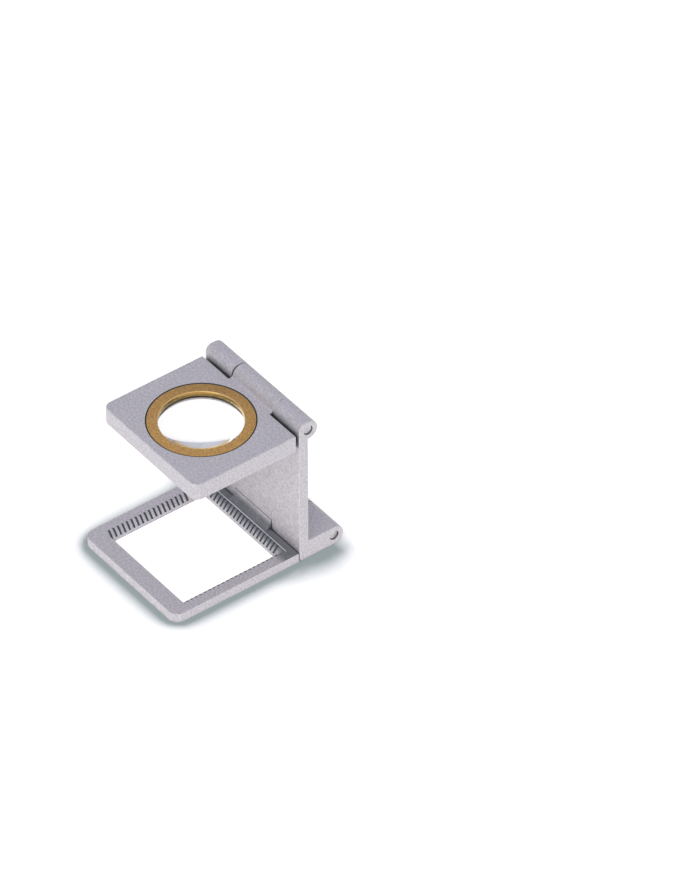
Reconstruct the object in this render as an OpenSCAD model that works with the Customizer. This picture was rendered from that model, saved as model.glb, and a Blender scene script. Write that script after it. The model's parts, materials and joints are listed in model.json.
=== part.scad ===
// Folding pocket loupe of the thread-counter kind: a graduated base plate, an upright
// and a lens plate, hinged at the foot and at the top so that the three leaves fold flat.
// +X runs along both hinges, +Y from the front edge to the rear, +Z up from the table.

/* [Leaves] */
// Width of all three leaves along the hinges
leaf_w = 28; // [25:0.5:40]
// Thickness of the base plate
base_t = 2; // [1.6:0.1:3]
// Depth of the base plate, from its front edge to the front face of the upright
base_depth = 28; // [27:0.5:40]
// Thickness of the upright
upright_t = 2; // [1.6:0.1:3]
// Thickness of the lens plate
lens_plate_t = 3.6; // [3.4:0.1:5]
// Depth of the lens plate, from its front edge to its rear edge
lens_plate_depth = 22.45; // [22:0.05:24]
// Height of the lens plate's top face above the table
eye_h = 30.4; // [29:0.2:45]
// Radius of the base plate's two front corners
base_corner_r = 2; // [0.5:0.1:2.5]
// Radius of the lens plate's two front corners
lens_corner_r = 1.7; // [0.5:0.1:2.5]

/* [Window and scale] */
// Side of the square window, which is also the length of each scale
window = 21.5; // [10:0.5:22]
// Width of the base plate's rim in front of the window
front_rim = 3.45; // [2.5:0.05:5]
// How far the bevelled scale edges reach out from the window
bevel_run = 1; // [0.4:0.05:1.2]
// Thickness left at the window under the bevelled scale edges
bevel_lip = 0.8; // [0.4:0.1:1.2]
// Distance between graduations
mark_pitch = 1; // [0.5:0.5:2]
// Width of a graduation
mark_w = 0.42; // [0.2:0.02:0.46]
// Depth of a graduation
mark_depth = 0.1; // [0.05:0.01:0.2]
// How far a graduation runs out over the top face
mark_over = 0.3; // [0:0.02:0.3]

/* [Optics] */
// Clear radius through the retaining ring and the seat
aperture_r = 7.8; // [6:0.1:8.2]
// Width of the ledge that carries the lens
lens_ledge = 0.95; // [0.5:0.05:1]
// Width of the ledge that carries the retaining ring
ring_ledge = 1.2; // [0.6:0.05:1.3]
// Radius of both of the lens's curved faces
lens_curve_r = 31; // [30:1:60]
// Thickness of the lens at its centre
lens_t = 3.35; // [2.6:0.05:3.35]
// Chamfer on the retaining ring's edges
ring_chamfer = 0.1; // [0.05:0.05:0.4]
// Distance from the lens plate's front edge to the optical axis
lens_axis_depth = 11.75; // [11:0.05:12]

/* [Hinges] */
// Outer radius of both hinges' knuckles
knuckle_r = 2; // [1.8:0.1:2.2]
// Radius of the hinge pins
pin_r = 1; // [0.6:0.05:1.2]
// How far the pins' ends lie inside the knuckles' outer ends
pin_recess = 0.25; // [0:0.05:0.5]
// Width of the lens plate's knuckle in the top hinge
top_knuckle_w = 12.2; // [8:0.1:16]
// Width of the base plate's tongue in the foot hinge
tongue_w = 10.9; // [8:0.1:16]
// Radius of the hollow fillet in front of the lens plate's knuckle
knuckle_fillet_r = 0.6; // [0.3:0.1:0.8]
// Corner radius of the upright's knuckles, on their front upper side
shoulder_r = 1.4; // [0.5:0.1:1.6]
// Corner radius of the foot's heel, under the upright's front face
heel_r = 0.7; // [0.6:0.1:0.8]

/* [Fits] */
// Radial clearance of a knuckle that turns on its pin
run_clear = 0.05; // [0.02:0.01:0.1]
// How much smaller than the pin a knuckle's hole is where the pin is pressed in
press = 0.01; // [0:0.01:0.03]
// Side clearance between neighbouring knuckles
side_clear = 0.12; // [0.08:0.01:0.3]
// Clearance between leaves that lie on each other, and at a knuckle's rim
face_clear = 0.1; // [0.08:0.02:0.2]
// Gap between the base plate's rear edge and the upright
foot_gap = 0.2; // [0.2:0.05:0.5]
// Gap between the lens plate's rear edge and the upright
rear_gap = 0.65; // [0.5:0.05:1]
// Clearance round the lens and round its ring
seat_clear = 0.05; // [0.03:0.01:0.1]

/* [Hidden] */
$fn = 64;

// The lens uses only a small cap of each large ball, so the balls take finer steps
fine_fn = 256;
// A cut runs on past a face by this much
past = 1;

// Foot hinge: its knuckles rest on the table, and its axis lies so far behind the top
// hinge that the folded base plate passes behind the folded lens plate
foot_axis_z = knuckle_r;
foot_t = 2 * knuckle_r;
tongue_fillet_r = foot_t - base_t;
top_axis_y = base_depth + upright_t + face_clear;
foot_axis_y = top_axis_y + lens_plate_t + 2 * face_clear + foot_axis_z;
overall_depth = foot_axis_y + knuckle_r;

// Top hinge: its axis lies level with the lens plate's top face
top_axis_z = eye_h;
lens_rear_y = base_depth - rear_gap;
lens_front_y = lens_rear_y - lens_plate_depth;
lens_plate_z = eye_h - lens_plate_t;
saddle_z = top_axis_z - knuckle_r - face_clear;

// Upright
notch_w = tongue_w + 2 * side_clear;
notch_z = foot_t + face_clear;
saddle_w = top_knuckle_w + 2 * side_clear;
relief = knuckle_r / 2;

// Window and scale
window_y = front_rim + window / 2;
marks = floor(window / mark_pitch / 2 - 0.5);

// Lens: at the clear radius its face has fallen crown_fall below its crown
lens_r = aperture_r + lens_ledge;
ring_r = lens_r + ring_ledge;
lens_axis_y = lens_front_y + lens_axis_depth;
lens_mid_z = lens_plate_z + lens_plate_t / 2;
crown_fall = lens_curve_r - sqrt(pow(lens_curve_r, 2) - pow(aperture_r, 2));
seat_half = lens_t / 2 - crown_fall + seat_clear / 2;
ring_bottom_z = lens_mid_z + seat_half;
ring_top_z = eye_h - seat_clear;

plate_grey = [0.70, 0.69, 0.72];
paint_black = [0.09, 0.11, 0.14];
pin_steel = [0.62, 0.62, 0.64];
ring_brass = [0.75, 0.55, 0.28];
lens_glass = [0.85, 0.92, 0.95, 0.4];

// The plan's origin is under the middle of the open loupe
module placed() {
    translate([0, -overall_depth / 2, 0])
        children();
}

// A solid that runs along X, from a profile drawn in Y and Z, centred on x = 0
module along_x(w) {
    rotate([90, 0, 90])
        translate([0, 0, -w / 2])
            linear_extrude(height = w)
                children();
}

module x_rod(r, w, y, z) {
    along_x(w)
        translate([y, z])
            circle(r);
}

// A pair of knuckles or arms: a side view runs across the whole leaf, and the middle is
// taken out of it between two heights
module both_ends(inner_w, z0, z1) {
    difference() {
        along_x(leaf_w)
            children();
        translate([-inner_w / 2, base_depth - past, z0])
            cube([inner_w, overall_depth - base_depth + 2 * past, z1 - z0]);
    }
}

// Leaf outline in plan, square at the rear and rounded at its two front corners
module leaf_outline(y0, y1, r) {
    translate([-leaf_w / 2, y0 + r])
        square([leaf_w, y1 - y0 - r]);
    translate([-leaf_w / 2 + r, y0])
        square([leaf_w - 2 * r, r + past]);
    for (side = [-1, 1])
        translate([side * (leaf_w / 2 - r), y0 + r])
            circle(r);
}

// Cross-section of a bevelled scale edge: x is the distance out from the window
module bevel_profile() {
    polygon([
        [-past, bevel_lip],
        [0, bevel_lip],
        [bevel_run, base_t],
        [bevel_run, base_t + past],
        [-past, base_t + past]
    ]);
}

// Cross-section of a graduation, which follows the bevel and turns onto the top face.
// With proud above zero it stands out past both faces, as the cut for it has to
module mark_profile(proud) {
    slope = (base_t - bevel_lip) / bevel_run;
    polygon([
        [-proud, bevel_lip],
        [mark_depth, bevel_lip],
        [bevel_run + mark_depth - mark_depth / slope, base_t - mark_depth],
        [bevel_run + mark_over, base_t - mark_depth],
        [bevel_run + mark_over, base_t + proud],
        [bevel_run - proud, base_t + proud]
    ]);
}

// Turns a cross-section of width w to one edge of the window: 0 is the right-hand
// edge, 90 the rear edge and 180 the left-hand edge
module at_window_edge(turn, shift, w) {
    translate([0, window_y, 0])
        rotate([0, 0, turn])
            translate([window / 2, shift + w / 2, 0])
                rotate([90, 0, 0])
                    linear_extrude(height = w)
                        children();
}

module all_marks(proud) {
    for (turn = [0, 90, 180])
        for (step = [-marks : marks])
            at_window_edge(turn, step * mark_pitch, mark_w)
                mark_profile(proud);
}

module base_plate() {
    color(plate_grey)
        placed()
            difference() {
                union() {
                    linear_extrude(height = base_t)
                        leaf_outline(0, base_depth - foot_gap, base_corner_r);
                    tongue();
                }
                translate([-window / 2, front_rim, -past])
                    cube([window, window, base_t + 2 * past]);
                for (turn = [0, 90, 180])
                    at_window_edge(turn, 0, window)
                        bevel_profile();
                bevel_corners();
                all_marks(past / 4);
                x_rod(pin_r + run_clear, tongue_w + 2 * past, foot_axis_y, foot_axis_z);
            }
}

// The bevels meet in a mitre at the window's rear corners
module bevel_corners() {
    for (side = [-1, 1])
        intersection() {
            at_window_edge(90 - side * 90, bevel_run / 2, window + bevel_run)
                bevel_profile();
            at_window_edge(90, 0, window + 2 * bevel_run)
                bevel_profile();
        }
}

// The base plate's middle part, which passes under the upright to the foot hinge
module tongue() {
    along_x(tongue_w) {
        difference() {
            translate([base_depth - tongue_fillet_r, base_t / 2])
                square([tongue_fillet_r + past, base_t / 2 + tongue_fillet_r]);
            translate([base_depth - tongue_fillet_r, base_t + tongue_fillet_r])
                circle(tongue_fillet_r);
        }
        translate([base_depth - foot_gap - past, 0])
            square([foot_axis_y - base_depth + foot_gap + past, base_t]);
        translate([base_depth, 0])
            square([foot_axis_y - base_depth, foot_t]);
        translate([foot_axis_y, foot_axis_z])
            circle(knuckle_r);
    }
}

module scale_marks() {
    color(paint_black)
        placed()
            all_marks(0);
}

module base_hinge_pin() {
    color(pin_steel)
        placed()
            x_rod(pin_r, leaf_w - 2 * pin_recess, foot_axis_y, foot_axis_z);
}

module top_hinge_pin() {
    color(pin_steel)
        placed()
            x_rod(pin_r, leaf_w - 2 * pin_recess, top_axis_y, top_axis_z);
}

// Side view of the foot arms: the heel's lower corner is rounded off, so that the base
// plate's rear edge swings past it
module foot_profile() {
    translate([base_depth + heel_r, 0])
        square([foot_axis_y - base_depth - heel_r, foot_t]);
    translate([base_depth, heel_r])
        square([heel_r + past, foot_t - heel_r]);
    translate([base_depth + heel_r, heel_r])
        circle(heel_r);
    translate([foot_axis_y, foot_axis_z])
        circle(knuckle_r);
}

// Side view of the upright's knuckles: round behind, and a rounded shoulder in front
module top_knuckle_profile() {
    translate([top_axis_y, top_axis_z])
        circle(knuckle_r);
    translate([base_depth, saddle_z - relief])
        square([upright_t, top_axis_z - saddle_z + relief]);
    shoulder_top = top_axis_z + knuckle_r;
    translate([base_depth, top_axis_z - past])
        square([top_axis_y - base_depth, shoulder_top - shoulder_r - top_axis_z + past]);
    translate([base_depth + shoulder_r, top_axis_z - past])
        square([top_axis_y - base_depth - shoulder_r, shoulder_top - top_axis_z + past]);
    translate([base_depth + shoulder_r, shoulder_top - shoulder_r])
        circle(shoulder_r);
}

// Side view of the upright below its saddle: at its rear upper corner it slopes back, to
// make room for the lens plate's knuckle
module upright_profile() {
    square([upright_t, saddle_z - relief - foot_t / 2]);
    translate([0, saddle_z - relief - foot_t / 2 - past])
        polygon([
            [0, 0],
            [upright_t, 0],
            [upright_t, past],
            [upright_t - relief / 2, relief + past],
            [0, relief + past]
        ]);
}

module upright() {
    color(plate_grey)
        placed()
            difference() {
                union() {
                    both_ends(notch_w, -past, notch_z)
                        foot_profile();
                    both_ends(notch_w, -past, notch_z)
                        translate([base_depth, foot_t / 2])
                            upright_profile();
                    both_ends(saddle_w, saddle_z - relief - past, eye_h + knuckle_r + past)
                        top_knuckle_profile();
                }
                x_rod(pin_r - press, leaf_w + 2 * past, foot_axis_y, foot_axis_z);
                x_rod(pin_r - press, leaf_w + 2 * past, top_axis_y, top_axis_z);
            }
}

// Side view of the arm and knuckle that carry the lens plate on the top hinge
module lens_arm_profile() {
    translate([top_axis_y, top_axis_z])
        circle(knuckle_r);
    translate([lens_rear_y - past, top_axis_z - knuckle_r])
        square([top_axis_y - lens_rear_y + past, knuckle_r]);
    // The hollow fillet touches the plate's top face and the knuckle's rim
    reach = sqrt(pow(knuckle_r + knuckle_fillet_r, 2) - pow(knuckle_fillet_r, 2));
    lean = knuckle_fillet_r / (knuckle_r + knuckle_fillet_r);
    difference() {
        translate([top_axis_y - reach, top_axis_z - knuckle_fillet_r])
            square([reach * lean, knuckle_fillet_r * (2 - lean)]);
        translate([top_axis_y - reach, top_axis_z + knuckle_fillet_r])
            circle(knuckle_fillet_r);
    }
}

module lens_plate() {
    color(plate_grey)
        placed()
            difference() {
                union() {
                    translate([0, 0, lens_plate_z])
                        linear_extrude(height = lens_plate_t)
                            leaf_outline(lens_front_y, lens_rear_y, lens_corner_r);
                    along_x(top_knuckle_w)
                        lens_arm_profile();
                }
                on_lens_axis(lens_plate_z - past)
                    cylinder(h = lens_plate_t + 2 * past, r = aperture_r);
                on_lens_axis(lens_mid_z - seat_half)
                    cylinder(h = lens_plate_t, r = lens_r + seat_clear);
                on_lens_axis(ring_bottom_z)
                    cylinder(h = lens_plate_t, r = ring_r + seat_clear);
                x_rod(pin_r + run_clear, top_knuckle_w + 2 * past, top_axis_y, top_axis_z);
            }
}

module on_lens_axis(z) {
    translate([0, lens_axis_y, z])
        children();
}

// Biconvex lens: two balls and a cylinder have it in common
module lens() {
    color(lens_glass)
        placed()
            on_lens_axis(lens_mid_z)
                intersection() {
                    translate([0, 0, lens_t / 2 - lens_curve_r])
                        sphere(lens_curve_r, $fn = fine_fn);
                    translate([0, 0, lens_curve_r - lens_t / 2])
                        sphere(lens_curve_r, $fn = fine_fn);
                    cylinder(h = lens_t, r = lens_r, center = true);
                }
}

module retaining_ring() {
    h = ring_top_z - ring_bottom_z;
    color(ring_brass)
        placed()
            on_lens_axis(ring_bottom_z)
                rotate_extrude()
                    polygon([
                        [aperture_r, 0],
                        [ring_r, 0],
                        [ring_r, h - ring_chamfer / 2],
                        [ring_r - ring_chamfer / 2, h],
                        [aperture_r + ring_chamfer, h],
                        [aperture_r, h - ring_chamfer]
                    ]);
}

base_plate();
scale_marks();
base_hinge_pin();
upright();
top_hinge_pin();
lens_plate();
lens();
retaining_ring();
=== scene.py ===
# %% [markdown]
# # A folding pocket loupe
# The real thing is a thread counter: three small metal leaves that turn on two pins. The
# bottom leaf is a frame with a graduated window, the middle leaf stands upright, and the
# top leaf carries a glass lens under a screwed brass ring.
#
# Here each leaf gets the small roundings that tumbling gives a casting, the ring, the lens
# and the pins are turned afresh with finer curves, and every surface gets its finish.
# Blender counts in metres, so the name `MM` stands for a millimetre.

# %% Load the frame
import bmesh
import bpy
import json
import math
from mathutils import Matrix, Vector


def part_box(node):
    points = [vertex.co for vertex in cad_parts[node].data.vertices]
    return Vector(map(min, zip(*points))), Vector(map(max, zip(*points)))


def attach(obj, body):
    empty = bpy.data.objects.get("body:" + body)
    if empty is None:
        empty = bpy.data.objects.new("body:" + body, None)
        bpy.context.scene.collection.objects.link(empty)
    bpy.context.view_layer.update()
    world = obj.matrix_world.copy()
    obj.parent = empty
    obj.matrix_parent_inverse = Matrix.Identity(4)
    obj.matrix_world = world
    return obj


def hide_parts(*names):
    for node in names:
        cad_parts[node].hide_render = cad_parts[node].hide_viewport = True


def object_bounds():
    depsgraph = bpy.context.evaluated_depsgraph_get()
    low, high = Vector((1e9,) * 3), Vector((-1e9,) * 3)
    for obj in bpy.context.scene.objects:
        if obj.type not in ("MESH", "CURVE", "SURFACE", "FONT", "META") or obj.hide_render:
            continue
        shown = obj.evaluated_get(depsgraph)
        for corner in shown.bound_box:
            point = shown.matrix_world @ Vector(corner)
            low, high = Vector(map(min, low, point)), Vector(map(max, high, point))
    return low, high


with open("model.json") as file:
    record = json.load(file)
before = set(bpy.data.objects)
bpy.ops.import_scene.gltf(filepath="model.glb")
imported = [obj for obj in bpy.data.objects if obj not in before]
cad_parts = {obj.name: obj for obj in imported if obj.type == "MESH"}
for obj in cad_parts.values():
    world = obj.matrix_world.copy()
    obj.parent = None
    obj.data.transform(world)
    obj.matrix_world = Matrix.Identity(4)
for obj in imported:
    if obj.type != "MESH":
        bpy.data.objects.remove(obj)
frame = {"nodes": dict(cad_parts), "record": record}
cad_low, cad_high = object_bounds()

MM = 0.001
print("CAD box in mm:", [round(side / MM, 2) for side in cad_high - cad_low])

# %% [markdown]
# ## Camera
# The loupe is small, so it is seen from more than a metre away through a long lens, which
# keeps its edges almost parallel. The camera stands in front, to the right and above.
# Azimuth counts from the front (looking along +Y) round towards the right-hand side. The
# camera is slid sideways and up, not turned, to put the loupe low on the left of the frame.

# %% Camera
AZIMUTH = math.radians(52.55)
ELEVATION = math.radians(41.36)
DISTANCE = 1.4934
FOCAL_LENGTH = 341.26
SLIDE_RIGHT = 24.77 * MM
SLIDE_UP = 19.25 * MM

towards_camera = Vector((math.sin(AZIMUTH) * math.cos(ELEVATION),
                         -math.cos(AZIMUTH) * math.cos(ELEVATION),
                         math.sin(ELEVATION)))
picture_right = Vector((math.cos(AZIMUTH), math.sin(AZIMUTH), 0))
picture_up = towards_camera.cross(picture_right)

camera = bpy.data.objects.new("camera", bpy.data.cameras.new("camera"))
bpy.context.scene.collection.objects.link(camera)
bpy.context.scene.camera = camera
camera.data.lens = FOCAL_LENGTH
camera.data.sensor_width = 36
camera.data.clip_start = 0.01
camera.data.clip_end = 20
camera.location = (towards_camera * DISTANCE + picture_right * SLIDE_RIGHT
                   + picture_up * SLIDE_UP)
camera.rotation_euler = towards_camera.to_track_quat("Z", "Y").to_euler()
print("camera stands at", [round(c, 3) for c in camera.location], "m")

# %% [markdown]
# ## Working on a copy of a CAD part
# The engineering model has knife-sharp edges. A cast and tumbled leaf has none: each edge
# is rounded by a quarter of a millimetre, and that round is what catches the light. The
# CAD node itself may not change, so its mesh is copied, welded, and its flat faces are made
# whole again. The copy is kept in millimetres while it is worked on, because Blender's
# own tolerances suit numbers near one better than numbers near a thousandth.

# %% Helpers for copied parts
ROUND_STEPS = 4
SHARP = math.radians(28)
FLAT = math.radians(0.6)
WELD = 0.002


def copy_of(node):
    """The mesh of a CAD node as a bmesh in millimetres, welded, with whole flat faces."""
    source = frame["nodes"][node].data
    work = bmesh.new()
    verts = [work.verts.new(vert.co / MM) for vert in source.vertices]
    for face in source.polygons:
        work.faces.new([verts[index] for index in face.vertices])
    bmesh.ops.remove_doubles(work, verts=work.verts, dist=WELD)
    bmesh.ops.dissolve_limit(work, angle_limit=FLAT, verts=work.verts, edges=work.edges)
    return work


def round_edges(work, radius, wanted, mark="rim"):
    """Rounds the convex edges that wanted() picks, marks the new faces, counts the edges."""
    layers = work.faces.layers.float
    marked = layers.get(mark) or layers.new(mark)
    edges = [edge for edge in work.edges
             if edge.is_manifold and edge.is_convex
             and edge.calc_face_angle() > SHARP and wanted(edge)]
    made = bmesh.ops.bevel(work, geom=edges, offset=radius, offset_type="OFFSET",
                           segments=ROUND_STEPS, profile=0.5, affect="EDGES",
                           clamp_overlap=True)
    for face in made["faces"]:
        face[marked] = 1.0
    return len(edges)


def middle(edge):
    return (edge.verts[0].co + edge.verts[1].co) / 2


# %% [markdown]
# ## From a mesh to a piece
# A finished mesh goes back to metres and becomes an object. It rides on a body of the loupe and
# stands in for the CAD node it was made after. Its faces are shaded smooth, with the normals
# weighted by area, so that the large flat faces stay flat and only the small roundings bend the
# light.

# %% Helper for pieces
SHADED_SHARP = math.radians(40)


def add_piece(name, work, body, stands_for):
    """Turns a bmesh in millimetres into a shaded piece that rides on a body."""
    mesh = bpy.data.meshes.new(name)
    bmesh.ops.scale(work, vec=(MM, MM, MM), verts=work.verts)
    bmesh.ops.recalc_face_normals(work, faces=work.faces)
    work.to_mesh(mesh)
    work.free()
    mesh.shade_smooth()
    mesh.set_sharp_from_angle(angle=SHADED_SHARP)
    piece = bpy.data.objects.new(name, mesh)
    bpy.context.scene.collection.objects.link(piece)
    even = piece.modifiers.new("even_normals", "WEIGHTED_NORMAL")
    even.keep_sharp = True
    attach(piece, body)
    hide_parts(stands_for)
    size = [round(side / MM, 2) for side in piece.dimensions]
    print(name, "is", size, "mm, with", len(mesh.polygons), "faces")
    return piece


# %% [markdown]
# ## A scribed line
# A fine line is scribed in the base plate's top. To make it, the face is cut along three lines
# and across them at the ends, and the middle line is pushed down to make a shallow V. Its faces
# are marked for the finish, which paints them bright as a highlight.

# %% Helpers for scribing
GENTLE_RISE = 0.08
FACES_UP = 0.95


def flat_top(work, top):
    """The faces of a leaf's top, with the first gentle step of the curve that rises from it."""
    return [face for face in work.faces
            if face.normal.z > FACES_UP
            and abs(face.calc_center_median().z - top) < GENTLE_RISE]


def scribe_line(work, start, end, width, depth):
    """Cuts a shallow V along X in a flat face, from one end point to the other."""
    scribed_highlight = work.faces.layers.float.new("scribed_highlight")
    cuts = [(Vector((0, start.y + share * width, 0)), (0, 1, 0)) for share in (0, 0.5, 1)]
    cuts += [(Vector((x, 0, 0)), (1, 0, 0))
             for x in (start.x - width, start.x, end.x, end.x + width)]
    for spot, across in cuts:
        ledge = flat_top(work, start.z)
        edges = list({edge for face in ledge for edge in face.edges})
        bmesh.ops.bisect_plane(work, geom=ledge + edges, dist=WELD / 10, plane_co=spot,
                               plane_no=across)
    # These faces are painted bright as a highlight.
    for face in flat_top(work, start.z):
        spot = face.calc_center_median()
        if start.x < spot.x < end.x and start.y < spot.y < start.y + width:
            face[scribed_highlight] = 1.0
    for vert in work.verts:
        on_line = abs(vert.co.y - start.y - width / 2) < WELD
        on_top = abs(vert.co.z - start.z) < GENTLE_RISE
        if on_line and on_top and start.x - WELD < vert.co.x < end.x + WELD:
            vert.co.z -= depth


# %% [markdown]
# ## Leaves: the base plate
# The bottom leaf is a frame round a square window. Its outer edges are rounded, but the
# engraved grooves along the window stay crisp, or the scale would be hard to read. So the
# edges beside the scale are left out of the rounding. The scribed line runs along the ends
# of the rear graduations.

# %% Base plate
marks_low, marks_high = (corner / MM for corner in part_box("scale_marks"))
SCALE_MARGIN = 0.35
LEAF_ROUND = 0.25
SCRIBE_WIDTH = 0.15
SCRIBE_DEPTH = 0.04
SCRIBE_GAP = 0.03


def beside_scale(edge):
    spot = middle(edge)
    return (marks_low.x - SCALE_MARGIN < spot.x < marks_high.x + SCALE_MARGIN
            and marks_low.y - 2 * SCALE_MARGIN < spot.y < marks_high.y + SCALE_MARGIN)


work = copy_of("base_plate")
line_y = marks_high.y + SCRIBE_GAP
scribe_line(work, Vector((marks_low.x, line_y, marks_high.z)),
            Vector((marks_high.x, line_y, marks_high.z)), SCRIBE_WIDTH, SCRIBE_DEPTH)
rounded = round_edges(work, LEAF_ROUND, lambda edge: not beside_scale(edge))
base_leaf = add_piece("base_leaf", work, "base", "base_plate")
print("rounded", rounded, "edges")

# %% [markdown]
# ## Leaves: the upright
# The middle leaf is a plain wall with knuckles at both ends. Every outer edge is rounded,
# and so are the mouths of the four holes that hold the pins, which leaves the thin bright
# ring round each pin's end.

# %% Upright
work = copy_of("upright")
rounded = round_edges(work, LEAF_ROUND, lambda edge: True)
upright_leaf = add_piece("upright_leaf", work, "upright", "upright")
print("rounded", rounded, "edges")

# %% [markdown]
# ## Leaves: the lens plate
# The top leaf has the same soft outer edges, but the pocket for the brass ring is turned on a
# lathe after casting, so its mouth keeps a much smaller round. Edges are told apart by how far
# they lie from the lens's axis. The pocket's mouth gets painted shade for the dark gap round the
# ring, so its faces carry that mark and not `rim`.

# %% Lens plate
ring_low, ring_high = (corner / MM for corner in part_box("retaining_ring"))
ring_centre = (ring_low + ring_high) / 2
ring_radius = (ring_high.x - ring_low.x) / 2
POCKET_ROUND = 0.12
POCKET_MARGIN = 0.3


def in_pocket(edge):
    spot = middle(edge)
    away = math.hypot(spot.x - ring_centre.x, spot.y - ring_centre.y)
    return away < ring_radius + POCKET_MARGIN


work = copy_of("lens_plate")
rounded = round_edges(work, LEAF_ROUND, lambda edge: not in_pocket(edge))
# The pocket's mouth is marked for painted shade in the gap round the ring.
rounded += round_edges(work, POCKET_ROUND, in_pocket, mark="crevice_shade")
lens_leaf = add_piece("lens_leaf_plate", work, "lens_leaf", "lens_plate")
print("rounded", rounded, "edges")

# %% [markdown]
# ## A lathe
# The ring, the lens and the pins are turned parts, so one helper turns them all: it takes
# a half section, as radius and height, and sweeps it round an axis. `soften` first rounds
# the section's corners with short arcs, because a lathe tool leaves no perfect corner
# either. Every band of faces can carry a mark of its own, such as `bore`, for the
# material to read later.

# %% Lathe helpers
TURN_STEPS = 192
CORNER_STEPS = 4


def soften(section):
    """Rounds the corners of a closed section; a point is (radius, height, rounding)."""
    points = [Vector(point[:2]) for point in section]
    soft = []
    for index, corner in enumerate(points):
        radius = section[index][2]
        back = (points[index - 1] - corner).normalized()
        ahead = (points[(index + 1) % len(points)] - corner).normalized()
        half = back.angle(ahead) / 2
        centre = corner + (back + ahead).normalized() * (radius / math.sin(half))
        first = corner + back * (radius / math.tan(half)) - centre
        last = corner + ahead * (radius / math.tan(half)) - centre
        for step in range(CORNER_STEPS + 1):
            spoke = first.slerp(last, step / CORNER_STEPS).normalized()
            soft.append(centre + spoke * radius)
    return soft


def turn(section, place, closed):
    """Sweeps a section round an axis; place() says where radius, height and angle lie."""
    work = bmesh.new()
    rings = []
    for radius, height in section:
        if radius < WELD:
            rings.append([work.verts.new(place(0, height, 0))] * TURN_STEPS)
        else:
            rings.append([work.verts.new(place(radius, height, math.tau * step / TURN_STEPS))
                          for step in range(TURN_STEPS)])
    if closed:
        rings.append(rings[0])
    for lower, upper in zip(rings, rings[1:]):
        for step in range(TURN_STEPS):
            ahead = (step + 1) % TURN_STEPS
            loop = [lower[step], lower[ahead], upper[ahead], upper[step]]
            work.faces.new(list(dict.fromkeys(loop)))
    return work


def upright_axis(radius, height, angle):
    return (ring_centre.x + radius * math.cos(angle), ring_centre.y + radius * math.sin(angle),
            height)


# %% [markdown]
# ## The retaining ring
# A thin brass ring is screwed down on the lens. Its top is left satin and its bore is bright, so
# the bore's faces are marked for a smoother finish that is also painted brighter as a highlight.
# The chamfer at the bore is the engineering model's own. The outer corner is rounded like the
# pocket's mouth beside it, and marked in the same way for painted shade in the gap.

# %% Retaining ring
RING_WALL = 2.15
RING_CHAMFER = 0.1
RING_ROUND = 0.04

bore_radius = ring_radius - RING_WALL
work = turn(soften([(bore_radius, ring_low.z, RING_ROUND),
                    (ring_radius, ring_low.z, RING_ROUND),
                    (ring_radius, ring_high.z, POCKET_ROUND),
                    (bore_radius + RING_CHAMFER, ring_high.z, RING_ROUND),
                    (bore_radius, ring_high.z - RING_CHAMFER, RING_ROUND)]),
            upright_axis, closed=True)
bore = work.faces.layers.float.new("bore")
crevice_shade = work.faces.layers.float.new("crevice_shade")
for face in work.faces:
    spot = face.calc_center_median()
    away = math.hypot(spot.x - ring_centre.x, spot.y - ring_centre.y)
    # The bore is painted brighter as a highlight, and the outer corner dark as shade in the gap.
    face[bore] = 1.0 if away < bore_radius + RING_CHAMFER else 0.0
    face[crevice_shade] = 1.0 if away > ring_radius - POCKET_ROUND else 0.0
ring = add_piece("brass_ring", work, "lens_leaf", "retaining_ring")

# %% [markdown]
# ## The lens
# The glass is the same on both sides: two shallow caps of one large ball, back to back,
# with a short ground edge between them. The cap's height at any radius follows from the
# ball, so the curve is worked out and not drawn, which keeps the magnified view true.

# %% Lens
BALL_RADIUS = 31
CAP_STEPS = 24

glass_low, glass_high = (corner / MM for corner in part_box("lens"))
lens_radius = (glass_high.x - glass_low.x) / 2
crown = (glass_high.z - glass_low.z) / 2
glass_middle = (glass_high.z + glass_low.z) / 2


def cap_height(radius):
    return crown - BALL_RADIUS + math.sqrt(BALL_RADIUS ** 2 - radius ** 2)


radii = [lens_radius * step / CAP_STEPS for step in range(CAP_STEPS + 1)]
top_cap = [(radius, glass_middle + cap_height(radius)) for radius in radii]
under_cap = [(radius, glass_middle - cap_height(radius)) for radius in reversed(radii)]
lens = add_piece("glass_lens", turn(top_cap + under_cap, upright_axis, closed=False),
                 "lens_leaf", "lens")

# %% [markdown]
# ## The hinge pins
# Two plain steel pins hold the leaves together. They are pressed into the upright, a
# little below its outer faces, and their cut ends are chamfered and slightly domed. A
# dome drops by a quarter of its height over the first half of its radius.

# %% Hinge pins
PIN_CHAMFER = 0.15
PIN_DOME = 0.04


def turn_pin(name, node):
    low, high = (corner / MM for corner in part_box(node))
    radius = (high.z - low.z) / 2
    half = (high.x - low.x) / 2
    axis_y = (low.y + high.y) / 2
    axis_z = (low.z + high.z) / 2

    def lying_axis(out, along, angle):
        return along, axis_y + out * math.cos(angle), axis_z + out * math.sin(angle)

    face = half - PIN_DOME
    end = [(0, half), (radius / 2, half - PIN_DOME / 4), (radius - PIN_CHAMFER, face),
           (radius, face - PIN_CHAMFER)]
    section = end + [(out, -along) for out, along in reversed(end)]
    return add_piece(name, turn(section, lying_axis, closed=False), "upright", node)


foot_pin = turn_pin("foot_pin", "base_hinge_pin")
top_pin = turn_pin("top_pin", "top_hinge_pin")

# %% [markdown]
# ## Helpers for materials
# Every finish is built from nodes. `put` adds a node, sets its options and fills its
# inputs in one go: a plain value is typed into the socket, and another node's output is
# linked to it. `calc` does one sum on two values, and `face_mark` reads a mark that was
# left on the faces. `new_group` opens an empty node group with named inputs and outputs.

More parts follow.
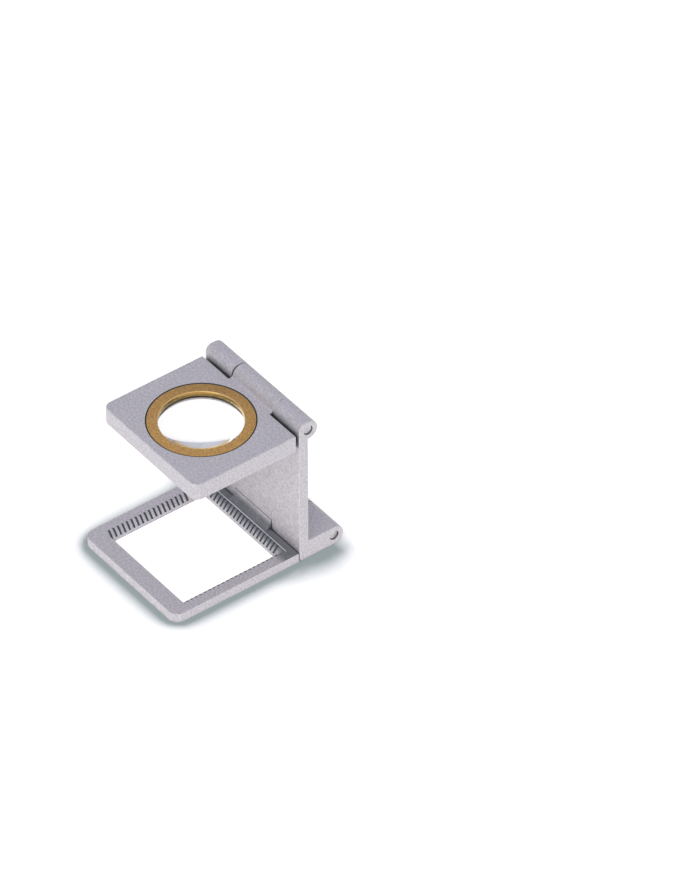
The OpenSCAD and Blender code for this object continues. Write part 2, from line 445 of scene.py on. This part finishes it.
# %% Node helpers
def put(tree, kind, inputs=None, **options):
    """Adds a node, sets its options, and fills or links its inputs by name or number."""
    made = tree.nodes.new(kind)
    for option, value in options.items():
        setattr(made, option, value)
    for label, value in (inputs or {}).items():
        if isinstance(value, bpy.types.NodeSocket):
            tree.links.new(value, made.inputs[label])
        else:
            made.inputs[label].default_value = value
    return made


def calc(tree, operation, first, second, **options):
    """The result of one math node; first and second are sockets or numbers."""
    made = put(tree, "ShaderNodeMath", {0: first, 1: second}, operation=operation, **options)
    return made.outputs[0]


def face_mark(tree, label):
    """1 on the faces that carry a mark, and 0 elsewhere."""
    return put(tree, "ShaderNodeAttribute", attribute_name=label).outputs["Fac"]


def new_group(name, inputs, outputs):
    """An empty shader node group; inputs gives each input's name and its usual value."""
    group = bpy.data.node_groups.new(name, "ShaderNodeTree")
    for label, value in inputs.items():
        kind = "NodeSocketFloat" if isinstance(value, float) else "NodeSocketVector"
        socket = group.interface.new_socket(label, in_out="INPUT", socket_type=kind)
        socket.default_value = value
    for label in outputs:
        group.interface.new_socket(label, in_out="OUTPUT", socket_type="NodeSocketFloat")
    return group, group.nodes.new("NodeGroupInput").outputs


def finish_group(group, results):
    put(group, "NodeGroupOutput", results)
    print("node group", group.name, "gives", ", ".join(results))


def place_group(tree, group, values):
    """Puts a group in a material with its own values, and returns its outputs."""
    return put(tree, "ShaderNodeGroup", values, node_tree=group).outputs


# %% [markdown]
# ## Effect: cast grain
# Tumbled metal has a fine pebbly skin. Two noises give it: a fine one for the grain
# itself, and a coarse one that makes some patches a little darker. `Tone` runs round 0.5
# and tints the colour, and `Height` feeds the bump. Sizes are in millimetres, so the
# texture scale, which counts per metre, is a thousand divided by the size. A mix node's
# inputs 2 and 3 are the two numbers it mixes, and its inputs 6 and 7 the two colours.

# %% Group: cast grain
NUMBER_A = 2
NUMBER_B = 3


def position_in_piece(tree):
    return put(tree, "ShaderNodeTexCoord").outputs["Object"]


def noise_of(tree, size_mm, detail, where=None):
    """A noise whose blobs are about size_mm across; size_mm is a socket or a number."""
    spot = where or position_in_piece(tree)
    noise = put(tree, "ShaderNodeTexNoise",
                {"Vector": spot, "Scale": calc(tree, "DIVIDE", 1 / MM, size_mm),
                 "Detail": detail})
    return noise.outputs["Fac"]


def blend(tree, share, low, high):
    """A value that runs from low to high as share runs from 0 to 1."""
    mix = put(tree, "ShaderNodeMix", {0: share, NUMBER_A: low, NUMBER_B: high})
    return mix.outputs[0]


def stretch(tree, value, low, high):
    """Spreads value so that it runs from 0 at low to 1 at high, and clamps the rest."""
    spread = put(tree, "ShaderNodeMapRange", {"Value": value, "From Min": low, "From Max": high})
    return spread.outputs["Result"]


GRAIN_DETAIL = 2.0
GRAIN_LOW = 0.36
GRAIN_HIGH = 0.64
PATCH_SHARE = 0.25

grain_group, given = new_group("cast grain", {"Grain size": 0.25, "Patch size": 3.0},
                               ["Tone", "Height"])
fine = noise_of(grain_group, given["Grain size"], GRAIN_DETAIL)
speckle = stretch(grain_group, fine, GRAIN_LOW, GRAIN_HIGH)
patches = noise_of(grain_group, given["Patch size"], GRAIN_DETAIL)
finish_group(grain_group, {"Tone": blend(grain_group, PATCH_SHARE, speckle, patches),
                           "Height": fine})

# %% [markdown]
# ## Effect: edge wear and highlight
# Edges are rubbed smoother in a pocket or a pouch, and the same mask paints them lighter as a
# highlight. The rounding helper marked its faces in the attribute `rim`, so this group reads
# that mark and breaks it up with a noise: the mask is nothing away from the rims, and comes and
# goes in patches along them. `Amount` sets how strongly they are worn and highlit.

# %% Group: edge wear and highlight
WEAR_HIGHLIGHT_DETAIL = 4.0
WEAR_HIGHLIGHT_STARTS = 0.25
WEAR_HIGHLIGHT_FULL = 0.6

worn_highlit_group, given = new_group("edge wear and highlight", {"Amount": 0.8, "Patch size": 1.2}, ["Mask"])
ragged = noise_of(worn_highlit_group, given["Patch size"], WEAR_HIGHLIGHT_DETAIL)
broken = stretch(worn_highlit_group, ragged, WEAR_HIGHLIGHT_STARTS, WEAR_HIGHLIGHT_FULL)
worn_and_highlit = calc(worn_highlit_group, "MULTIPLY", face_mark(worn_highlit_group, "rim"), broken)
finish_group(worn_highlit_group, {"Mask": calc(worn_highlit_group, "MULTIPLY", worn_and_highlit, given["Amount"])})

# %% [markdown]
# ## Effect: painted shade
# Shade is painted into the colour in two places. One is the low corner in front of the upright,
# where faces that look up get a film of painted shade: the film starts in the rear part of the
# window's frame, is thick by the end of the graduations, and stops at the upright. The other is
# every seam between knuckles, which the ambient occlusion node finds, as it is closed in.
# `Starts`, `Thick` and `Wall` are places along Y, `Ceiling` is a height, and the film input sets
# how strongly the painted shade covers.

# %% Group: painted shade
LEANS_UP = 0.1
LIES_FLAT = 0.6
BLOTCH_SIZE = 1.6
BLOTCH_DETAIL = 4.0
THIN_SHADE_FILM = 0.75
THICK_SHADE_FILM = 1.25
SEAM_OPEN = 0.56
SEAM_SHUT = 0.28

painted_shade_group, given = new_group("painted shade", {"Starts": 3.0, "Thick": 5.0, "Wall": 10.0,
                                               "Ceiling": 5.0, "Shade film": 0.8,
                                               "Seam reach": 1.5}, ["Mask"])
place = put(painted_shade_group, "ShaderNodeSeparateXYZ", {"Vector": position_in_piece(painted_shade_group)})
depth = calc(painted_shade_group, "MULTIPLY", place.outputs["Y"], 1 / MM)
height = calc(painted_shade_group, "MULTIPLY", place.outputs["Z"], 1 / MM)
facing = put(painted_shade_group, "ShaderNodeTexCoord").outputs["Normal"]
upward = put(painted_shade_group, "ShaderNodeSeparateXYZ", {"Vector": facing}).outputs["Z"]
blotches = noise_of(painted_shade_group, BLOTCH_SIZE, BLOTCH_DETAIL)
# A film of painted shade in the corner in front of the upright.
shade_film = stretch(painted_shade_group, depth, given["Starts"], given["Thick"])
for share in (calc(painted_shade_group, "LESS_THAN", depth, given["Wall"]),
              calc(painted_shade_group, "LESS_THAN", height, given["Ceiling"]),
              stretch(painted_shade_group, upward, LEANS_UP, LIES_FLAT),
              blend(painted_shade_group, blotches, THIN_SHADE_FILM, THICK_SHADE_FILM), given["Shade film"]):
    shade_film = calc(painted_shade_group, "MULTIPLY", shade_film, share)

reach = calc(painted_shade_group, "MULTIPLY", given["Seam reach"], MM)
sky = put(painted_shade_group, "ShaderNodeAmbientOcclusion", {"Distance": reach}, samples=8)
# Painted shade in the closed-in seams.
seam_shade = stretch(painted_shade_group, sky.outputs["AO"], SEAM_OPEN, SEAM_SHUT)
mask = calc(painted_shade_group, "MAXIMUM", shade_film, seam_shade, use_clamp=True)
finish_group(painted_shade_group, {"Mask": mask})

# %% [markdown]
# ## Effect: turning marks
# A lathe leaves fine grooves round the part's axis. The distance from the axis, measured
# across it, drives a noise of one dimension, so the grooves run in true circles round
# `Centre`. `Across` is 1 along the directions to measure in and 0 along the axis, and the
# output `Radius` is that distance, for a finish that needs it.

# %% Group: turning marks
GROOVES_LOW = 0.3
GROOVES_HIGH = 0.7

turning_group, given = new_group("turning marks",
                                 {"Centre": (0, 0, 0), "Across": (1, 1, 0), "Pitch": 0.08},
                                 ["Tone", "Height", "Radius"])
offset = put(turning_group, "ShaderNodeVectorMath",
             {0: position_in_piece(turning_group), 1: given["Centre"]}, operation="SUBTRACT")
across = put(turning_group, "ShaderNodeVectorMath",
             {0: offset.outputs[0], 1: given["Across"]}, operation="MULTIPLY")
radius = put(turning_group, "ShaderNodeVectorMath", {0: across.outputs[0]},
             operation="LENGTH").outputs["Value"]
grooves = put(turning_group, "ShaderNodeTexNoise",
              {"W": radius, "Scale": calc(turning_group, "DIVIDE", 1 / MM, given["Pitch"]),
               "Detail": 2.0}, noise_dimensions="1D").outputs["Fac"]
finish_group(turning_group, {
    "Tone": stretch(turning_group, grooves, GROOVES_LOW, GROOVES_HIGH),
    "Height": grooves, "Radius": radius})

# %% [markdown]
# ## Effect: handling smudge
# Fingers leave faint greasy patches that hardly change the colour but break up the gloss.
# A soft noise, itself pushed about by another noise, gives their uneven outlines. The
# mask always goes to roughness; on steel and glass it tints the colour as well.

# %% Group: handling smudge
WOBBLES_PER_METRE = 400.0
PUSH = 2 * MM
SMEAR_DETAIL = 5.0
SMEAR_STARTS = 0.4
SMEAR_FULL = 0.75

smudge_group, given = new_group("handling smudge", {"Size": 6.0, "Amount": 0.5}, ["Mask"])
here = position_in_piece(smudge_group)
wobble = put(smudge_group, "ShaderNodeTexNoise", {"Vector": here, "Scale": WOBBLES_PER_METRE})
pushed = put(smudge_group, "ShaderNodeVectorMath",
             {0: wobble.outputs["Color"], 1: (PUSH, PUSH, PUSH), 2: here},
             operation="MULTIPLY_ADD").outputs[0]
smear = stretch(smudge_group, noise_of(smudge_group, given["Size"], SMEAR_DETAIL, pushed),
                SMEAR_STARTS, SMEAR_FULL)
finish_group(smudge_group, {"Mask": calc(smudge_group, "MULTIPLY", smear, given["Amount"])})


# %% [markdown]
# ## Helpers for finishes
# Each material starts the same way: an empty node tree with one Principled shader and its
# output. Colours are mixed by a mask with `tint`, `bumped` turns heights into a normal, and
# `wire` links the results to the shader.

# %% Finish helpers
COLOUR_A = 6
COLOUR_B = 7
MIXED_COLOUR = 2


def new_finish(name, metallic, **plain):
    material = bpy.data.materials.new(name)
    material.use_nodes = True
    tree = material.node_tree
    tree.nodes.clear()
    shader = put(tree, "ShaderNodeBsdfPrincipled", {"Metallic": metallic})
    for label, value in plain.items():
        shader.inputs[label.replace("_", " ").title()].default_value = value
    put(tree, "ShaderNodeOutputMaterial", {"Surface": shader.outputs["BSDF"]})
    return material, tree, shader


def tint(tree, share, low, high):
    """A colour between low and high; each is three numbers or another node's colour."""
    mix = put(tree, "ShaderNodeMix", {0: share}, data_type="RGBA")
    for socket, colour in ((mix.inputs[COLOUR_A], low), (mix.inputs[COLOUR_B], high)):
        if isinstance(colour, bpy.types.NodeSocket):
            tree.links.new(colour, socket)
        else:
            socket.default_value = (*colour, 1)
    return mix.outputs[MIXED_COLOUR]


def bumped(tree, height, distance_mm, strength=1.0):
    bump = put(tree, "ShaderNodeBump", {"Height": height, "Distance": distance_mm * MM,
                                        "Strength": strength})
    return bump.outputs["Normal"]


def wire(tree, shader, links):
    for label, socket in links.items():
        tree.links.new(socket, shader.inputs[label])


# %% [markdown]
# ## Finish: satin alloy
# The leaves are a pale, slightly pink metal with a dull satin skin, so dull that it counts as
# only partly metallic. It reflects the room in a broad blur: flat faces that look up take the
# grey of the ceiling, and upright faces take the white of the table. Grain tints the colour and
# pits the surface, rims are worn smoother and painted lighter as a highlight, and smudges dull
# it again. Painted shade darkens the corner in front of the upright, the seams and the pocket's
# mouth, and the scribed line is painted bright as a highlight.

# %% Satin alloy
ALLOY_DARK = (0.49, 0.47, 0.49)
ALLOY_LIGHT = (0.72, 0.69, 0.71)
ALLOY_WORN_HIGHLIGHT = (0.80, 0.78, 0.78)
ALLOY_LINE_HIGHLIGHT = (0.92, 0.92, 0.92)
ALLOY_PAINTED_SHADE = (0.07, 0.095, 0.10)
CLEAN_ROUGH = 0.46
SMUDGED_ROUGH = 0.58
WORN_ROUGH = 0.36
GRAIN_DEPTH = 0.012
SHADE_FILM_WIDTH = 2.8
SHADE_FILM_THICK = 1.1
SHADE_FILM_WALL = 0.5

upright_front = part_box("upright")[0].y / MM
alloy, tree, shader = new_finish("satin_alloy_finish", metallic=0.3)
grain = place_group(tree, grain_group, {"Grain size": 0.4, "Patch size": 3.5})
worn_highlit_rims = place_group(tree, worn_highlit_group, {"Amount": 0.6, "Patch size": 1.3})
smudge = place_group(tree, smudge_group, {"Size": 7.0, "Amount": 0.6})
painted_shade = place_group(tree, painted_shade_group, {
    "Starts": marks_high.y - SHADE_FILM_WIDTH, "Thick": marks_high.y - SHADE_FILM_THICK,
    "Wall": upright_front + SHADE_FILM_WALL, "Ceiling": 5.0, "Shade film": 0.72, "Seam reach": 2.0})
skin = tint(tree, grain["Tone"], ALLOY_DARK, ALLOY_LIGHT)
# Worn rims are also painted lighter as a highlight.
rubbed_and_highlit = tint(tree, worn_highlit_rims["Mask"], skin, ALLOY_WORN_HIGHLIGHT)
# Painted shade: the corner film, the knuckle seams and the pocket's mouth turn dark.
shade_share = calc(tree, "MAXIMUM", painted_shade["Mask"], face_mark(tree, "crevice_shade"))
colour_with_shade = tint(tree, shade_share, rubbed_and_highlit, ALLOY_PAINTED_SHADE)
skin_rough = blend(tree, smudge["Mask"], CLEAN_ROUGH, SMUDGED_ROUGH)
wire(tree, shader, {
    # The scribed line is painted bright as a highlight.
    "Base Color": tint(tree, face_mark(tree, "scribed_highlight"), colour_with_shade, ALLOY_LINE_HIGHLIGHT),
    "Roughness": blend(tree, worn_highlit_rims["Mask"], skin_rough, WORN_ROUGH),
    "Normal": bumped(tree, grain["Height"], GRAIN_DEPTH),
})
for leaf in (base_leaf, upright_leaf, lens_leaf):
    leaf.data.materials.append(alloy)
print("satin alloy on", base_leaf.name, upright_leaf.name, lens_leaf.name)

# %% [markdown]
# ## Finish: turned brass
# Brass is a yellow metal, here a little dulled, so it is not quite fully metallic. The top is
# satin, with fine circles round the lens and a grainy tarnish between them. The faces marked
# `bore` are polished and painted a brighter gold as a highlight, and the outer corner is painted
# dark as shade in the gap beside the plate. The worn top catches the light like a low cone, so
# its bump also falls away outwards, as steeply as `CONE_SLOPE` says.

# %% Turned brass
BRASS_DEEP = (0.40, 0.21, 0.065)
BRASS_PALE = (0.92, 0.55, 0.18)
BRASS_BORE_HIGHLIGHT = (1.0, 0.70, 0.28)
BRASS_GAP_SHADE = (0.13, 0.09, 0.04)
GRAIN_SHARE = 0.6
TOP_ROUGH = 0.34
TOP_SMUDGED_ROUGH = 0.46
BORE_ROUGH = 0.16
GROOVE_DEPTH = 0.004
CONE_SLOPE = 0.26

brass, tree, shader = new_finish("turned_brass_finish", metallic=0.75)
circles = place_group(tree, turning_group, {"Centre": ring_centre * MM, "Pitch": 0.07})
smudge = place_group(tree, smudge_group, {"Size": 4.0, "Amount": 0.8})
grain = place_group(tree, grain_group, {"Grain size": 0.35, "Patch size": 2.5})
polished_highlit_bore = face_mark(tree, "bore")
fall = calc(tree, "MULTIPLY", circles["Radius"], -CONE_SLOPE / (GROOVE_DEPTH * MM))
tarnish = blend(tree, GRAIN_SHARE, circles["Tone"], grain["Tone"])
# The bore is painted a brighter gold as a highlight.
brass_before_shade = tint(tree, polished_highlit_bore, tint(tree, tarnish, BRASS_DEEP, BRASS_PALE), BRASS_BORE_HIGHLIGHT)
top_rough = blend(tree, smudge["Mask"], TOP_ROUGH, TOP_SMUDGED_ROUGH)
wire(tree, shader, {
    # The outer corner is painted dark as shade in the gap.
    "Base Color": tint(tree, face_mark(tree, "crevice_shade"), brass_before_shade, BRASS_GAP_SHADE),
    "Roughness": blend(tree, polished_highlit_bore, top_rough, BORE_ROUGH),
    "Normal": bumped(tree, calc(tree, "ADD", circles["Height"], fall), GROOVE_DEPTH),
})
ring.data.materials.append(brass)
print("turned brass on", ring.name)

# %% [markdown]
# ## Finish: pin steel
# The pins are cut from drawn rod: grey steel with circular marks on the ends, a little
# darker where oil from the hinge has crept out.

# %% Pin steel
STEEL_DARK = (0.46, 0.46, 0.48)
STEEL_PALE = (0.62, 0.62, 0.64)
STEEL_OILY = (0.27, 0.26, 0.26)
STEEL_ROUGH = 0.30
OILY_ROUGH = 0.42
CUT_DEPTH = 0.005


def steel_for(pin):
    """The circles on a pin's end run round that pin's own axis, so each has its steel."""
    middle_of_pin = sum((Vector(corner) for corner in pin.bound_box), Vector()) / 8
    steel, tree, shader = new_finish(pin.name + "_steel", metallic=1.0)
    circles = place_group(tree, turning_group, {"Centre": middle_of_pin, "Across": (0, 1, 1),
                                                "Pitch": 0.09})
    oil = place_group(tree, smudge_group, {"Size": 1.5, "Amount": 1.0})
    metal = tint(tree, circles["Tone"], STEEL_DARK, STEEL_PALE)
    wire(tree, shader, {
        "Base Color": tint(tree, oil["Mask"], metal, STEEL_OILY),
        "Roughness": blend(tree, oil["Mask"], STEEL_ROUGH, OILY_ROUGH),
        "Normal": bumped(tree, circles["Height"], CUT_DEPTH),
    })
    pin.data.materials.append(steel)


steel_for(foot_pin)
steel_for(top_pin)
print("pin steel on", foot_pin.name, top_pin.name)

# %% [markdown]
# ## Finish: scale paint
# The graduations are grooves filled with matt blue-black paint. The engineering model's
# own solids fill the grooves flush, so they stay and only get this finish: a little grey
# dust in the paint, and a fine unevenness where it shrank as it dried.

# %% Scale paint
PAINT_DARK = (0.028, 0.038, 0.05)
PAINT_DUSTY = (0.09, 0.11, 0.14)
PAINT_ROUGH = 0.5
DUSTY_ROUGH = 0.75
SHRINK_DEPTH = 0.01

paint, tree, shader = new_finish("scale_paint_finish", metallic=0.0)
speck = place_group(tree, grain_group, {"Grain size": 0.12, "Patch size": 1.5})
wire(tree, shader, {
    "Base Color": tint(tree, speck["Tone"], PAINT_DARK, PAINT_DUSTY),
    "Roughness": blend(tree, speck["Tone"], PAINT_ROUGH, DUSTY_ROUGH),
    "Normal": bumped(tree, speck["Height"], SHRINK_DEPTH),
})
marks_node = frame["nodes"]["scale_marks"]
marks_node.data.materials.clear()
marks_node.data.materials.append(paint)
print("scale paint on", marks_node.name)

# %% [markdown]
# ## Finish: lens glass
# Plain crown glass bends light by an index of 1.52, which is what makes the window below
# look larger through it. Its only marks are faint smudges that blur it here and there.

# %% Lens glass
GLASS_INDEX = 1.52
GLASS_CLEAR = (1.0, 1.0, 1.0)
GLASS_SMUDGED = (0.96, 0.98, 0.99)
GLASS_ROUGH = 0.05

glass, tree, shader = new_finish("lens_glass_finish", metallic=0.0, transmission_weight=1.0)
shader.inputs["IOR"].default_value = GLASS_INDEX
smudge = place_group(tree, smudge_group, {"Size": 5.0, "Amount": 1.0})
wire(tree, shader, {
    "Base Color": tint(tree, smudge["Mask"], GLASS_CLEAR, GLASS_SMUDGED),
    "Roughness": blend(tree, smudge["Mask"], 0.0, GLASS_ROUGH),
})
lens.data.materials.append(glass)
print("lens glass on", lens.name)

# %% [markdown]
# ## Floor
# The loupe stands on a light table. The floor is one flat square of it, much larger than
# the camera sees, because the metal mirrors what lies further out.

# %% Floor
FLOOR_HALF = 2.0

floor_mesh = bpy.data.meshes.new("floor")
floor_mesh.from_pydata([(-FLOOR_HALF, -FLOOR_HALF, 0), (FLOOR_HALF, -FLOOR_HALF, 0),
                        (FLOOR_HALF, FLOOR_HALF, 0), (-FLOOR_HALF, FLOOR_HALF, 0)],
                       [], [(0, 1, 2, 3)])
floor = bpy.data.objects.new("floor", floor_mesh)
bpy.context.scene.collection.objects.link(floor)
print("floor of", 2 * FLOOR_HALF, "m")

# %% [markdown]
# ## Finish: light table
# The table glows a little as well as catching light, and comes out pure white. Only close
# to the metal does it darken: the ambient occlusion node finds how closed-in each point is
# within a centimetre. Its normal leans away from the light, so the shade gathers in front
# of the loupe and on its right. The record's opening says where the window is; the glow
# comes up through it undimmed, and the clear patch turns away with the base leaf when the
# loupe is folded. Behind the foot the shade fades out, so that the table stays clean there.
# Only the camera sees the shade: the light that the table throws on the metal stays even.

# %% Light table
SHADE_REACH = 9.5 * MM
SHADE_LEAN = (-0.34, 0.76, 0.45)
SHADE_DEEP = 0.79
FADE_DEPTH = 5 * MM
WINDOW_MARGIN = 0.25 * MM
SHADE = (0.22, 0.255, 0.255)
TABLE_GREY = (0.82, 0.82, 0.82)
TABLE_GLOW = (1.0, 0.98, 0.95)
GLOW_STRENGTH = 0.7
TABLE_LIGHT = 0.88

glow, tree, shader = new_finish("light_table", metallic=0.0, roughness=1.0,
                                emission_strength=GLOW_STRENGTH)
shader.inputs["Specular IOR Level"].default_value = 0
open_sky = put(tree, "ShaderNodeAmbientOcclusion",
               {"Distance": SHADE_REACH, "Normal": SHADE_LEAN}, samples=16)
openness = stretch(tree, open_sky.outputs["AO"], SHADE_DEEP, 1.0)


def within(tree, low, high):
    """1 where a floor point lies in a box that turns with the base leaf, and 0 elsewhere."""
    spot = put(tree, "ShaderNodeSeparateXYZ",
               {"Vector": put(tree, "ShaderNodeTexCoord", object=base_leaf).outputs["Object"]})
    inside = 1.0
    for axis, near, far in zip("XYZ", low, high):
        side = put(tree, "ShaderNodeMath", {0: spot.outputs[axis], 1: (near + far) / 2,
                                            2: (far - near) / 2 + WINDOW_MARGIN},
                   operation="COMPARE")
        inside = calc(tree, "MULTIPLY", inside, side.outputs[0])
    return inside


window = next(opening["box_m"] for opening in frame["record"]["physics"]["openings"]
              if opening["name"] == "base_window")
floor_y = put(tree, "ShaderNodeSeparateXYZ",
              {"Vector": put(tree, "ShaderNodeNewGeometry").outputs["Position"]}).outputs["Y"]
far_side = stretch(tree, floor_y, cad_high.y - FADE_DEPTH / 2, cad_high.y + FADE_DEPTH / 2)
seen = put(tree, "ShaderNodeLightPath").outputs["Is Camera Ray"]
lit = openness
for clear in (within(tree, *window), far_side):
    lit = calc(tree, "MAXIMUM", lit, clear)
lit = blend(tree, seen, TABLE_LIGHT, lit)
wire(tree, shader, {"Base Color": tint(tree, lit, SHADE, TABLE_GREY),
                    "Emission Color": tint(tree, lit, SHADE, TABLE_GLOW)})
floor.data.materials.append(glow)
print("light table under the loupe, clear over the window of",
      [round((far - near) / MM, 1) for near, far in zip(*window)], "mm")

# %% [markdown]
# ## Room light
# A dim studio tent surrounds the loupe, a little violet overhead, and gives the flat tops
# of the leaves their colour. The main light is one large soft lamp to the left of the
# camera and a little higher. It lights the front faces almost as much as the tops, and its
# shadows fall behind the loupe onto the glowing table, where they vanish.

# %% World and lamp
WALL = (0.44, 0.42, 0.41)
WALL_TOP = 0.05
CEILING = (0.59, 0.60, 0.69)
CEILING_EDGE = 0.65
LAMP_AZIMUTH = math.radians(26)
LAMP_ELEVATION = math.radians(46)
LAMP_DISTANCE = 0.8
LAMP_WATTS = 1.6
LAMP_SIZE = 0.5

world = bpy.data.worlds.new("studio_tent")
bpy.context.scene.world = world
world.use_nodes = True
sky = world.node_tree
sky.nodes.clear()
direction = put(sky, "ShaderNodeTexCoord").outputs["Generated"]
height = put(sky, "ShaderNodeSeparateXYZ", {"Vector": direction}).outputs["Z"]
tent = tint(sky, stretch(sky, height, WALL_TOP, CEILING_EDGE), WALL, CEILING)
background = put(sky, "ShaderNodeBackground", {"Color": tent, "Strength": 1.0})
put(sky, "ShaderNodeOutputWorld", {"Surface": background.outputs["Background"]})

lamp_data = bpy.data.lights.new("soft_lamp", "AREA")
lamp_data.energy = LAMP_WATTS
lamp_data.size = LAMP_SIZE
lamp = bpy.data.objects.new("soft_lamp", lamp_data)
bpy.context.scene.collection.objects.link(lamp)
from_loupe = Vector((math.sin(LAMP_AZIMUTH) * math.cos(LAMP_ELEVATION),
                     -math.cos(LAMP_AZIMUTH) * math.cos(LAMP_ELEVATION),
                     math.sin(LAMP_ELEVATION)))
lamp.location = from_loupe * LAMP_DISTANCE
lamp.rotation_euler = from_loupe.to_track_quat("Z", "Y").to_euler()
print("lamp of", LAMP_WATTS, "W at", [round(c, 2) for c in lamp.location], "m")
bpy.context.scene.view_settings.view_transform = "Standard"
